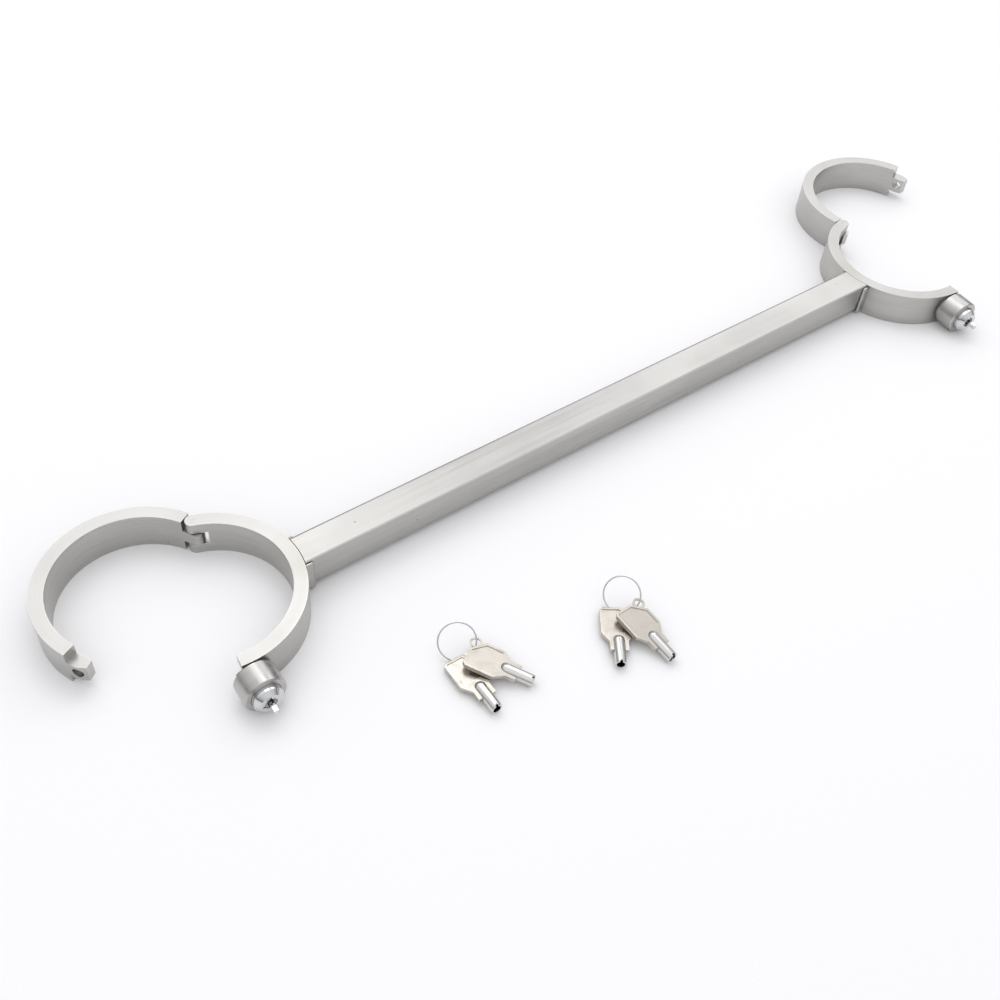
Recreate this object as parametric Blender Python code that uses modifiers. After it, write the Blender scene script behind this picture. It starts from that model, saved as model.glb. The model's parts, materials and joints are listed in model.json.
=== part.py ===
"""Rigid bar handcuffs: two hinged steel cuffs welded to a square bar, each shut by a push lock
with a tubular key, and two key rings with two keys each. Metres, +Z up, the bar along X.

Each cuff is modelled in its own frame: +X towards the bar, +Y towards the hinge, Z = 0 on the
floor. The right cuff is the mirror image of the left one (side = -1). At the end everything is
moved together so that the origin is the bottom centre of the whole set."""

import math

import bmesh
import bpy
from mathutils import Matrix, Vector

# Cuffs
CUFF_SPACING = 0.430
CUFF_OUTER_RADIUS = 0.041
BAND_THICKNESS = 0.006
BAND_HEIGHT = 0.018
BAND_EDGE_ROUND = 0.0006
LOCK_END_ANGLE = -90.0
CUFF_TURN = {"left": -8.0, "right": 0.0}
OPEN_ANGLE = {"left": 44.9, "right": 96.0}

# Hinge
PIN_ANGLE = 80.0
PIN_RADIUS = 0.00125
HINGE_TONGUE_HEIGHT = 0.0065
HINGE_TAIL_RADIUS = 0.0045
CLOSING_ANGLE = 5.5
SHOULDER_GAP = 0.0006
HINGE_SLOT_GAP = 0.0018

# Tongue that enters the lock
LOCK_TONGUE_HEIGHT = 0.0086
LOCK_TONGUE_LENGTH = 0.0082
LOCK_TONGUE_TAPER = 0.0034
LOCK_TONGUE_NOSE = 0.0038
LOCK_AXIS_INSET = 0.0037
BOLT_HOLE_RADIUS = 0.0025

# Bar
BAR_WIDTH = 0.0155
BAR_OFFSET = -0.0025
BAR_EDGE_ROUND = 0.0009
BAR_WELD_LEG = 0.0012
BAR_WELD_ROUND = 0.00095

# Lock
HOUSING_RADIUS = 0.009
HOUSING_STANDOFF = 0.0008
HOUSING_LENGTH = 0.0102
HOUSING_WEB = 0.0014
HOUSING_CHAMFER = 0.0005
HOUSING_WELD_INNER = 0.0063
HOUSING_WELD_OUTER = 0.0084
BARREL_RADIUS = 0.0064
BARREL_LENGTH = 0.0070
BARREL_CONE_LENGTH = 0.0019
BARREL_FACE_RADIUS = 0.0047
BARREL_PROUD = 0.0042
BARREL_TRAVEL = 0.0050
SPRING_POCKET_SHARE = 0.42
KEYWAY_DEPTH = 0.0022
NOTCH_WIDTH = 0.0011
NOTCH_DEPTH = 0.0008
NOTCH_ANGLES = (90.0, 190.0)
BOLT_RADIUS = 0.0020
BOLT_FLANGE = 0.0008
BOLT_TIP_INSET = 0.0002
BOLT_NOSE = 0.0006
POST_WIDTH = 0.0022
POST_PROUD = 0.0048
POST_EDGE_ROUND = 0.00026
PLUG_THICKNESS = 0.0013
BLOCK_THICKNESS = 0.0030
TUMBLER_COUNT = 4
TUMBLER_PIN_RADIUS = 0.00030
DRIVER_PIN_LENGTH = 0.0011
STOP_PIN_RADIUS = 0.0006
STOP_PIN_BITE = 0.0007
SPRING_WIRE = 0.00030
SPRING_MEAN_RADIUS = 0.0046
SPRING_TURNS = 5
TUMBLER_SPRING_WIRE = 0.00007
TUMBLER_SPRING_TURNS = 4

# Keys
KEY_TUBE_RADIUS = 0.0026
KEY_TUBE_WALL = 0.00085
KEY_TUBE_LENGTH = 0.0145
KEY_TUBE_LIP = 0.00025
KEY_TUBE_BORE_DEPTH = 0.0085
BOW_WIDTH = 0.0145
BOW_THICKNESS = 0.0022
BOW_STRAIGHT = 0.0133
BOW_TAPER = 0.0045
BOW_NECK_LENGTH = 0.0045
BOW_NECK_WIDTH = 0.0080
BOW_LUG_CORNER = 0.0055
BOW_CORNER = 0.0013
BOW_EDGE_ROUND = 0.00032
BOW_SEAT = 0.0143
BOW_RIM = 0.0011
BOW_RECESS = 0.0004
LUG_RADIUS = 0.0027
LUG_HOLE_RADIUS = 0.0018
LUG_THICKNESS = 0.0007
LUG_REACH = 0.0021
RING_RADIUS = 0.0080
RING_WIRE_RADIUS = 0.00035
RING_TILT = 48.0
RING_LIFT = 0.00012

# Where each key ring lies, and how its keys lie on the ring: the place round the ring in
# degrees, the key's heading and its slope along and across the shaft.
KEY_SETS = {
    "near": {
        "ring_centre": (-0.1406, -0.0710),
        "ring_heading": -28.0,
        "keys": (("lower", -45.6, -92.5, 2.0, 0.0), ("upper", -8.0, -58.5, -6.9, -4.0)),
    },
    "far": {
        "ring_centre": (-0.0684, -0.0905),
        "ring_heading": -60.0,
        "keys": (("lower", -45.6, -126.3, 2.0, 0.0), ("upper", -8.0, -87.9, -6.9, -4.0)),
    },
}

# Clearances
RUNNING_FIT = 0.00008
SLIDE_FIT = 0.00015
FACE_GAP = 0.0003
SLOT_SIDE_GAP = 0.0003
SLOT_END_GAP = 0.0006
CUTTER_OVERRUN = 0.002

# Mesh fineness
ARC_STEPS = 48
ROUND_STEPS = 40
SMALL_STEPS = 24
TINY_STEPS = 10
SHORT_STEPS = 8
DOME_STEPS = 5
END_STEPS = 12
COIL_STEPS = 16
TUMBLER_COIL_STEPS = 8

BAND_MID_RADIUS = CUFF_OUTER_RADIUS - BAND_THICKNESS / 2
BAND_INNER_RADIUS = CUFF_OUTER_RADIUS - BAND_THICKNESS
MID_HEIGHT = BAND_HEIGHT / 2


def band_degrees(length):
    """The angle that a length along the middle of the band spans."""
    return math.degrees(length / BAND_MID_RADIUS)


SHOULDER_ANGLE = PIN_ANGLE + band_degrees(BAND_THICKNESS / 2 + SHOULDER_GAP)
LOCK_SHOULDER_ANGLE = LOCK_END_ANGLE - 2 * CLOSING_ANGLE - band_degrees(SHOULDER_GAP) + 360
LOCK_AXIS_ANGLE = LOCK_END_ANGLE + band_degrees(LOCK_AXIS_INSET)
BOLT_HOLE_ANGLE = LOCK_SHOULDER_ANGLE + band_degrees(LOCK_AXIS_INSET + SHOULDER_GAP)

HOUSING_FRONT = HOUSING_STANDOFF + HOUSING_LENGTH
BARREL_FRONT = HOUSING_FRONT + BARREL_PROUD
BARREL_REAR = BARREL_FRONT - BARREL_LENGTH
KEYWAY_RADIUS = KEY_TUBE_RADIUS + SLIDE_FIT
PLUG_RADIUS = KEYWAY_RADIUS - SLIDE_FIT / 2
SPRING_POCKET_INNER = SPRING_MEAN_RADIUS - SPRING_WIRE - SLIDE_FIT
SPRING_POCKET_OUTER = SPRING_MEAN_RADIUS + SPRING_WIRE + SLIDE_FIT
SPRING_POCKET_END = BARREL_REAR + BARREL_LENGTH * SPRING_POCKET_SHARE
PLUG_FRONT = BARREL_FRONT - KEYWAY_DEPTH
BLOCK_FRONT = PLUG_FRONT - PLUG_THICKNESS - SLIDE_FIT
BLOCK_REAR = BLOCK_FRONT - BLOCK_THICKNESS
TUMBLER_RING_RADIUS = KEY_TUBE_RADIUS - KEY_TUBE_WALL / 2


# Tools

def clear_scene():
    for obj in list(bpy.data.objects):
        bpy.data.objects.remove(obj, do_unlink=True)


def new_collection(name, hidden=False):
    collection = bpy.data.collections.new(name)
    collection.hide_render = hidden
    bpy.context.scene.collection.children.link(collection)
    return collection


def new_material(name, colour, roughness, metallic=1.0):
    material = bpy.data.materials.new(name)
    material.use_nodes = True
    shader = material.node_tree.nodes["Principled BSDF"]
    shader.inputs["Base Color"].default_value = (*colour, 1.0)
    shader.inputs["Roughness"].default_value = roughness
    shader.inputs["Metallic"].default_value = metallic
    return material


def satin_steel(name):
    return new_material(name, (0.62, 0.61, 0.59), 0.32)


def chrome(name):
    return new_material(name, (0.82, 0.82, 0.83), 0.08)


def plain_steel(name):
    return new_material(name, (0.56, 0.56, 0.57), 0.25)


def spring_steel(name):
    return new_material(name, (0.42, 0.42, 0.44), 0.30)


def brass(name):
    return new_material(name, (0.72, 0.55, 0.26), 0.28)


def nickel_bow(name):
    return new_material(name, (0.72, 0.68, 0.62), 0.22)


def nickel_tube(name):
    return new_material(name, (0.76, 0.75, 0.73), 0.12)


def link(obj, collection):
    for other in list(obj.users_collection):
        other.objects.unlink(obj)
    collection.objects.link(obj)


def weld_mesh(mesh):
    work = bmesh.new()
    work.from_mesh(mesh)
    bmesh.ops.remove_doubles(work, verts=work.verts, dist=1e-6)
    bmesh.ops.recalc_face_normals(work, faces=work.faces)
    work.to_mesh(mesh)
    work.free()


def mesh_of_curve(curve_object):
    """The evaluated mesh of a curve object, welded. The curve is removed."""
    graph = bpy.context.evaluated_depsgraph_get()
    mesh = bpy.data.meshes.new_from_object(curve_object.evaluated_get(graph))
    bpy.data.objects.remove(curve_object, do_unlink=True)
    weld_mesh(mesh)
    return mesh


def prism(name, outline, bottom, top, collection):
    """A flat outline, given as XY points, filled and extruded from bottom to top."""
    curve = bpy.data.curves.new(name, "CURVE")
    curve.dimensions = "2D"
    curve.fill_mode = "BOTH"
    curve.extrude = (top - bottom) / 2
    spline = curve.splines.new("POLY")
    spline.points.add(len(outline) - 1)
    for point, place in zip(spline.points, outline):
        point.co = (place[0], place[1], 0.0, 1.0)
    spline.use_cyclic_u = True
    curve_object = bpy.data.objects.new(name, curve)
    collection.objects.link(curve_object)
    mesh = mesh_of_curve(curve_object)
    mesh.transform(Matrix.Translation((0.0, 0.0, (top + bottom) / 2)))
    obj = bpy.data.objects.new(name, mesh)
    collection.objects.link(obj)
    return obj


def box(name, size, centre, collection):
    bpy.ops.mesh.primitive_cube_add(size=1.0)
    obj = bpy.context.object
    obj.name = name
    obj.data.transform(Matrix.Translation(centre) @ Matrix.Diagonal((*size, 1.0)))
    link(obj, collection)
    return obj


def rod(name, radius, bottom, top, collection, steps=ROUND_STEPS):
    """A cylinder along Z."""
    bpy.ops.mesh.primitive_cylinder_add(vertices=steps, radius=radius, depth=top - bottom)
    obj = bpy.context.object
    obj.name = name
    obj.data.transform(Matrix.Translation((0.0, 0.0, (top + bottom) / 2)))
    link(obj, collection)
    return obj


def turned(name, profile, collection, steps=ROUND_STEPS, closed=False):
    """A profile of (radius, height) points, top to bottom on the outside, turned about Z."""
    mesh = bpy.data.meshes.new(name)
    points = [(radius, 0.0, height) for radius, height in profile]
    edges = [(index, index + 1) for index in range(len(points) - 1)]
    if closed:
        edges.append((len(points) - 1, 0))
    mesh.from_pydata(points, edges, [])
    obj = bpy.data.objects.new(name, mesh)
    collection.objects.link(obj)
    screw = obj.modifiers.new("Turn", "SCREW")
    screw.axis = "Z"
    screw.steps = steps
    screw.render_steps = steps
    screw.use_merge_vertices = True
    screw.merge_threshold = 1e-6
    return obj


def coil(name, radius, wire, bottom, top, turns, steps_per_turn, roundness, collection):
    """A compression spring along Z: a helix of round wire with filled ends."""
    curve = bpy.data.curves.new(name, "CURVE")
    curve.dimensions = "3D"
    curve.bevel_depth = wire
    curve.bevel_resolution = roundness
    curve.use_fill_caps = True
    count = turns * steps_per_turn
    spline = curve.splines.new("POLY")
    spline.points.add(count)
    low = bottom + wire
    rise = top - bottom - 2 * wire
    for index, point in enumerate(spline.points):
        turn = 2 * math.pi * index / steps_per_turn
        height = low + rise * index / count
        point.co = (radius * math.cos(turn), radius * math.sin(turn), height, 1.0)
    curve_object = bpy.data.objects.new(name, curve)
    collection.objects.link(curve_object)
    mesh = mesh_of_curve(curve_object)
    obj = bpy.data.objects.new(name, mesh)
    collection.objects.link(obj)
    return obj


def round_edges(obj, width, segments=2, angle=35.0):
    bevel = obj.modifiers.new("Edges", "BEVEL")
    bevel.width = width
    bevel.segments = segments
    bevel.limit_method = "ANGLE"
    bevel.angle_limit = math.radians(angle)
    bevel.use_clamp_overlap = True


def combine(obj, other, operation, label):
    boolean = obj.modifiers.new(label, "BOOLEAN")
    boolean.operation = operation
    boolean.solver = "EXACT"
    boolean.object = other


def helper(obj, parent):
    """A cutter or a piece that is merged into another: kept out of the render."""
    obj.parent = parent
    obj.display_type = "WIRE"
    obj.hide_render = True
    return obj


def finish(obj, parent, material, smooth=True):
    obj.parent = parent
    obj.data.materials.clear()
    obj.data.materials.append(material)
    if smooth:
        for face in obj.data.polygons:
            face.use_smooth = True
        obj.data.update()
    return obj


def empty(name, parent, location=(0.0, 0.0, 0.0)):
    obj = bpy.data.objects.new(name, None)
    obj.empty_display_size = 0.01
    obj.location = location
    obj.parent = parent
    PARTS.objects.link(obj)
    return obj


# Cuff outlines

def arc(side, radius, first, last, centre=(0.0, 0.0), steps=ARC_STEPS):
    """Points on an arc from one angle to another, in degrees."""
    points = []
    for index in range(steps + 1):
        angle = math.radians(first + (last - first) * index / steps)
        x = centre[0] + radius * math.cos(angle)
        y = centre[1] + radius * math.sin(angle)
        points.append((side * x, y))
    return points


def pin_place():
    angle = math.radians(PIN_ANGLE)
    return (BAND_MID_RADIUS * math.cos(angle), BAND_MID_RADIUS * math.sin(angle))


def moved(points, side, origin):
    return [(x - side * origin[0], y - origin[1]) for x, y in points]


def fixed_outline(side):
    """The fixed half from the lock end round to the rounded hinge end, in plan."""
    outer = arc(side, CUFF_OUTER_RADIUS, LOCK_END_ANGLE, PIN_ANGLE)
    hinge_end = arc(side, BAND_THICKNESS / 2, PIN_ANGLE, PIN_ANGLE + 180, pin_place(), END_STEPS)
    inner = arc(side, BAND_INNER_RADIUS, PIN_ANGLE, LOCK_END_ANGLE)
    return outer + hinge_end[1:-1] + inner


def swing_outline(side):
    outer = arc(side, CUFF_OUTER_RADIUS, SHOULDER_ANGLE, LOCK_SHOULDER_ANGLE)
    inner = arc(side, BAND_INNER_RADIUS, LOCK_SHOULDER_ANGLE, SHOULDER_ANGLE)
    return outer + inner


def band_sector(side, first, last, margin):
    """A stretch of the band, widened by a margin on both walls."""
    outer = arc(side, CUFF_OUTER_RADIUS + margin, first, last, steps=SHORT_STEPS)
    inner = arc(side, BAND_INNER_RADIUS - margin, last, first, steps=SHORT_STEPS)
    return outer + inner


def hinge_tongue_outline(side):
    """The tongue from inside the shoulder to its round tail beyond the pin."""
    root = SHOULDER_ANGLE + band_degrees(CUTTER_OVERRUN)
    outer = arc(side, CUFF_OUTER_RADIUS, root, PIN_ANGLE, steps=SHORT_STEPS)
    inner = arc(side, BAND_INNER_RADIUS, PIN_ANGLE, root, steps=SHORT_STEPS)
    half = math.degrees(math.asin(BAND_THICKNESS / 2 / HINGE_TAIL_RADIUS))
    back = PIN_ANGLE - 90
    tail = arc(side, HINGE_TAIL_RADIUS, back + half, back - half, pin_place(), END_STEPS)
    return outer + tail + inner


def lock_tongue_outline(side):
    """The tongue from inside the shoulder to its tapered nose."""
    root = LOCK_SHOULDER_ANGLE - band_degrees(CUTTER_OVERRUN)
    nose = LOCK_SHOULDER_ANGLE + band_degrees(LOCK_TONGUE_LENGTH)
    taper = nose - band_degrees(LOCK_TONGUE_TAPER)
    outer = arc(side, CUFF_OUTER_RADIUS, root, taper, steps=SHORT_STEPS)
    nose_outer = arc(side, BAND_MID_RADIUS + LOCK_TONGUE_NOSE / 2, nose, nose, steps=1)[:1]
    nose_inner = arc(side, BAND_MID_RADIUS - LOCK_TONGUE_NOSE / 2, nose, nose, steps=1)[:1]
    inner = arc(side, BAND_INNER_RADIUS, taper, root, steps=SHORT_STEPS)
    return outer + nose_outer + nose_inner + inner


# Cuff pieces

def radial_rotation(side, angle):
    """Turns +Z to the outward radial direction at this angle, with +Y upwards."""
    turn = math.radians(angle)
    direction = Vector((side * math.cos(turn), math.sin(turn), 0.0))
    return direction.to_track_quat("Z", "Y")


def fixed_half(name, side, frame):
    half = prism(name + "_fixed_half", fixed_outline(side), 0.0, BAND_HEIGHT, PARTS)
    round_edges(half, BAND_EDGE_ROUND)
    slot = HINGE_TONGUE_HEIGHT / 2 + SLOT_SIDE_GAP
    first = PIN_ANGLE - band_degrees(HINGE_TAIL_RADIUS + HINGE_SLOT_GAP)
    last = PIN_ANGLE + band_degrees(BAND_THICKNESS)
    outline = band_sector(side, first, last, CUTTER_OVERRUN)
    cutter = prism(name + "_hinge_slot", outline, MID_HEIGHT - slot, MID_HEIGHT + slot, CUTTERS)
    combine(half, helper(cutter, frame), "DIFFERENCE", "Hinge slot")
    slot = LOCK_TONGUE_HEIGHT / 2 + SLOT_SIDE_GAP
    first = LOCK_END_ANGLE - band_degrees(CUTTER_OVERRUN)
    last = LOCK_END_ANGLE + band_degrees(LOCK_TONGUE_LENGTH + SLOT_END_GAP)
    outline = band_sector(side, first, last, CUTTER_OVERRUN)
    cutter = prism(name + "_lock_slot", outline, MID_HEIGHT - slot, MID_HEIGHT + slot, CUTTERS)
    combine(half, helper(cutter, frame), "DIFFERENCE", "Lock slot")
    bore = rod(name + "_fixed_pin_bore", PIN_RADIUS + RUNNING_FIT, -CUTTER_OVERRUN,
               BAND_HEIGHT + CUTTER_OVERRUN, CUTTERS, SMALL_STEPS)
    bore.location = (side * pin_place()[0], pin_place()[1], 0.0)
    combine(half, helper(bore, frame), "DIFFERENCE", "Pin bore")
    finish(half, frame, satin_steel(name + "_fixed_half"), smooth=False)


def swing_half(name, side, hinge):
    """Modelled about the hinge pin, with the cuff's circle where it is when the band is round."""
    origin = pin_place()
    outline = moved(swing_outline(side), side, origin)
    half = prism(name + "_swing_half", outline, 0.0, BAND_HEIGHT, PARTS)
    round_edges(half, BAND_EDGE_ROUND)
    reach = HINGE_TONGUE_HEIGHT / 2
    outline = moved(hinge_tongue_outline(side), side, origin)
    tongue = prism(name + "_hinge_tongue", outline, MID_HEIGHT - reach, MID_HEIGHT + reach, CUTTERS)
    combine(half, helper(tongue, hinge), "UNION", "Hinge tongue")
    reach = LOCK_TONGUE_HEIGHT / 2
    outline = moved(lock_tongue_outline(side), side, origin)
    tongue = prism(name + "_lock_tongue", outline, MID_HEIGHT - reach, MID_HEIGHT + reach, CUTTERS)
    combine(half, helper(tongue, hinge), "UNION", "Lock tongue")
    bore = rod(name + "_swing_pin_bore", PIN_RADIUS + RUNNING_FIT, -CUTTER_OVERRUN,
               BAND_HEIGHT + CUTTER_OVERRUN, CUTTERS, SMALL_STEPS)
    combine(half, helper(bore, hinge), "DIFFERENCE", "Pin bore")
    hole = rod(name + "_bolt_hole", BOLT_HOLE_RADIUS, BAND_INNER_RADIUS - CUTTER_OVERRUN,
               CUFF_OUTER_RADIUS + CUTTER_OVERRUN, CUTTERS, SMALL_STEPS)
    hole.rotation_mode = "QUATERNION"
    hole.rotation_quaternion = radial_rotation(side, BOLT_HOLE_ANGLE)
    hole.location = (-side * origin[0], -origin[1], MID_HEIGHT)
    combine(half, helper(hole, hinge), "DIFFERENCE", "Bolt hole")
    finish(half, hinge, satin_steel(name + "_swing_half"), smooth=False)


def hinge_pin(name, side, frame):
    pin = rod(name + "_hinge_pin", PIN_RADIUS, 0.0, BAND_HEIGHT, PARTS, SMALL_STEPS)
    pin.location = (side * pin_place()[0], pin_place()[1], 0.0)
    finish(pin, frame, satin_steel(name + "_hinge_pin"), smooth=False)


# Bar and its welds

def bar():
    body = box("bar", (CUFF_SPACING - CUFF_OUTER_RADIUS, BAR_WIDTH, BAR_WIDTH),
               (0.0, BAR_OFFSET, BAND_HEIGHT - BAR_WIDTH / 2), PARTS)
    round_edges(body, BAR_EDGE_ROUND)
    for name, side in SIDES:
        cope = rod(name + "_bar_cope", CUFF_OUTER_RADIUS + FACE_GAP, -CUTTER_OVERRUN,
                   BAND_HEIGHT + CUTTER_OVERRUN, CUTTERS, 4 * ARC_STEPS)
        cope.location = (-side * CUFF_SPACING / 2, 0.0, 0.0)
        combine(body, helper(cope, None), "DIFFERENCE", "Coped end")
    finish(body, None, satin_steel("bar"), smooth=False)


def bar_weld(name, side):
    """The fillet weld under and beside the end of the bar: its top is ground away."""
    width = BAR_WIDTH + 2 * (BAR_WELD_LEG + FACE_GAP)
    height = BAR_WIDTH + BAR_WELD_LEG + FACE_GAP - BAR_EDGE_ROUND
    reach = width / 2 + abs(BAR_OFFSET)
    sagitta = CUFF_OUTER_RADIUS - math.sqrt(CUFF_OUTER_RADIUS ** 2 - reach ** 2)
    length = sagitta + 2 * BAR_WELD_LEG
    face = CUFF_OUTER_RADIUS - sagitta
    top = BAND_HEIGHT - BAR_EDGE_ROUND
    weld = box(name + "_bar_weld", (length, width, height),
               (side * (face + length / 2), BAR_OFFSET, top - height / 2), PARTS)
    round_edges(weld, BAR_WELD_ROUND, segments=3)
    weld.location = (-side * CUFF_SPACING / 2, 0.0, 0.0)
    cope = rod(name + "_weld_cope", CUFF_OUTER_RADIUS + FACE_GAP, -CUTTER_OVERRUN,
               BAND_HEIGHT + CUTTER_OVERRUN, CUTTERS, 4 * ARC_STEPS)
    cope.location = weld.location
    combine(weld, helper(cope, None), "DIFFERENCE", "Cuff wall")
    clear = BAR_WIDTH + 2 * FACE_GAP
    room_height = clear + CUTTER_OVERRUN
    middle = BAND_HEIGHT - BAR_WIDTH - FACE_GAP + room_height / 2
    room = box(name + "_weld_room", (CUFF_SPACING, clear, room_height), (0.0, BAR_OFFSET, middle), CUTTERS)
    combine(weld, helper(room, None), "DIFFERENCE", "Bar")
    finish(weld, None, satin_steel(name + "_bar_weld"), smooth=False)


# Lock

def lock_housing(name, lock, mouth):
    rear = HOUSING_STANDOFF
    front = HOUSING_FRONT
    bore = BARREL_RADIUS + SLIDE_FIT
    hole = BOLT_RADIUS + SLIDE_FIT
    profile = [
        (bore, front), (HOUSING_RADIUS - HOUSING_CHAMFER, front),
        (HOUSING_RADIUS, front - HOUSING_CHAMFER), (HOUSING_RADIUS, rear),
        (hole, rear), (hole, rear + HOUSING_WEB), (bore, rear + HOUSING_WEB),
    ]
    housing = turned(name + "_lock_housing", profile, PARTS, closed=True)
    drill = rod(name + "_stop_pin_bore", STOP_PIN_RADIUS + RUNNING_FIT, BARREL_RADIUS - STOP_PIN_BITE,
                HOUSING_RADIUS + CUTTER_OVERRUN, CUTTERS, SMALL_STEPS)
    place_stop_pin(drill)
    combine(housing, helper(drill, lock), "DIFFERENCE", "Stop pin bore")
    finish(housing, lock, satin_steel(name + "_lock_housing"), smooth=False)
    housing_weld(name, lock, mouth)


def housing_weld(name, lock, mouth):
    """A bead between the cuff's wall and the housing, open on the side where the tongue enters."""
    depth = CUFF_OUTER_RADIUS - math.sqrt(CUFF_OUTER_RADIUS ** 2 - HOUSING_WELD_OUTER ** 2)
    front = HOUSING_STANDOFF - FACE_GAP
    profile = [
        (HOUSING_WELD_INNER, front), (HOUSING_WELD_OUTER, front),
        (HOUSING_WELD_OUTER, -depth), (HOUSING_WELD_INNER, -depth),
    ]
    weld = turned(name + "_housing_weld", profile, PARTS, closed=True)
    wall = rod(name + "_weld_wall", CUFF_OUTER_RADIUS + FACE_GAP, -BAND_HEIGHT, BAND_HEIGHT,
               CUTTERS, 4 * ARC_STEPS)
    wall.rotation_euler = (math.pi / 2, 0.0, 0.0)
    wall.location = (0.0, 0.0, -CUFF_OUTER_RADIUS)
    combine(weld, helper(wall, lock), "DIFFERENCE", "Cuff wall")
    entry = box(name + "_weld_entry", (HOUSING_RADIUS, LOCK_TONGUE_HEIGHT + 4 * SLOT_SIDE_GAP, BAND_HEIGHT),
                (mouth * (LOCK_AXIS_INSET + HOUSING_RADIUS / 2), 0.0, 0.0), CUTTERS)
    combine(weld, helper(entry, lock), "DIFFERENCE", "Tongue entry")
    finish(weld, lock, satin_steel(name + "_housing_weld"), smooth=False)


def place_stop_pin(obj):
    """Lays a Z rod on the underside of the lock, pointing at its axis."""
    obj.rotation_euler = (math.pi / 2, 0.0, 0.0)
    obj.location = (0.0, 0.0, BARREL_REAR + BOLT_FLANGE + STOP_PIN_RADIUS)


def stop_pin(name, lock):
    pin = rod(name + "_stop_pin", STOP_PIN_RADIUS, BARREL_RADIUS - STOP_PIN_BITE,
              HOUSING_RADIUS - FACE_GAP, PARTS, SMALL_STEPS)
    place_stop_pin(pin)
    finish(pin, lock, plain_steel(name + "_stop_pin"), smooth=False)


def lock_barrel(name, lock):
    """The sliding shell of the lock, with a conical nose, the keyway and a pocket for the spring."""
    front = BARREL_FRONT
    rear = BARREL_REAR
    cone = front - BARREL_CONE_LENGTH
    pocket = SPRING_POCKET_END
    bore = KEYWAY_RADIUS
    profile = [
        (bore, front), (BARREL_FACE_RADIUS, front), (BARREL_RADIUS, cone), (BARREL_RADIUS, rear),
        (SPRING_POCKET_OUTER, rear), (SPRING_POCKET_OUTER, pocket), (SPRING_POCKET_INNER, pocket),
        (SPRING_POCKET_INNER, rear), (bore, rear),
    ]
    barrel = turned(name + "_lock_barrel", profile, PARTS, closed=True)
    groove_width = 2 * (STOP_PIN_RADIUS + SLIDE_FIT)
    groove_depth = 2 * (STOP_PIN_BITE + SLIDE_FIT)
    groove_length = groove_width + BARREL_TRAVEL
    groove = box(name + "_stop_groove", (groove_width, groove_depth, groove_length),
                 (0.0, -BARREL_RADIUS, rear + BOLT_FLANGE - SLIDE_FIT + groove_length / 2), CUTTERS)
    combine(barrel, helper(groove, lock), "DIFFERENCE", "Stop groove")
    for index, angle in enumerate(NOTCH_ANGLES):
        turn = math.radians(angle)
        notch = box(name + "_notch_%d" % (index + 1), (2 * NOTCH_DEPTH, NOTCH_WIDTH, KEYWAY_DEPTH),
                    (0.0, 0.0, 0.0), CUTTERS)
        notch.rotation_euler = (0.0, 0.0, turn)
        notch.location = (KEYWAY_RADIUS * math.cos(turn), KEYWAY_RADIUS * math.sin(turn), front)
        combine(barrel, helper(notch, lock), "DIFFERENCE", "Notch")
    finish(barrel, lock, chrome(name + "_lock_barrel"), smooth=False)


def lock_bolt(name, lock):
    rear = BARREL_REAR - SLIDE_FIT
    tip = HOUSING_STANDOFF + BOLT_TIP_INSET
    flange = SPRING_POCKET_INNER - SLIDE_FIT
    profile = [
        (0.0, rear), (flange, rear), (flange, rear - BOLT_FLANGE), (BOLT_RADIUS, rear - BOLT_FLANGE),
        (BOLT_RADIUS, tip + BOLT_NOSE), (BOLT_RADIUS - BOLT_NOSE, tip), (0.0, tip),
    ]
    bolt = turned(name + "_lock_bolt", profile, PARTS, SMALL_STEPS)
    finish(bolt, lock, plain_steel(name + "_lock_bolt"), smooth=False)


def lock_spring(name, lock):
    bottom = HOUSING_STANDOFF + HOUSING_WEB + SLIDE_FIT
    top = SPRING_POCKET_END - SLIDE_FIT
    spring = coil(name + "_lock_spring", SPRING_MEAN_RADIUS, SPRING_WIRE, bottom, top,
                  SPRING_TURNS, COIL_STEPS, 1, PARTS)
    finish(spring, lock, spring_steel(name + "_lock_spring"))


def tumbler_places():
    for index in range(TUMBLER_COUNT):
        angle = 2 * math.pi * (index + 0.5) / TUMBLER_COUNT
        yield index + 1, (TUMBLER_RING_RADIUS * math.cos(angle), TUMBLER_RING_RADIUS * math.sin(angle))


def tumbler_bores(obj, name, lock, bottom, top, radius):
    for number, (x, y) in tumbler_places():
        bore = rod(name + "_%d" % number, radius, bottom, top, CUTTERS, TINY_STEPS)
        bore.location = (x, y, 0.0)
        combine(obj, helper(bore, lock), "DIFFERENCE", "Bore %d" % number)


def lock_plug(name, lock):
    """The disc that turns with the key, with the square post that the key's tube goes over."""
    rear = PLUG_FRONT - PLUG_THICKNESS
    plug = rod(name + "_lock_plug", PLUG_RADIUS, rear, PLUG_FRONT, PARTS)
    front = BARREL_FRONT + POST_PROUD
    middle = (rear + front) / 2
    post = box(name + "_post", (POST_WIDTH, POST_WIDTH, front - rear), (0.0, 0.0, middle), CUTTERS)
    round_edges(post, POST_EDGE_ROUND)
    combine(plug, helper(post, lock), "UNION", "Post")
    tumbler_bores(plug, name + "_plug_bore", lock, rear - CUTTER_OVERRUN, PLUG_FRONT + CUTTER_OVERRUN / 2,
                  TUMBLER_PIN_RADIUS + RUNNING_FIT)
    finish(plug, lock, chrome(name + "_lock_plug"), smooth=False)


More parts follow.
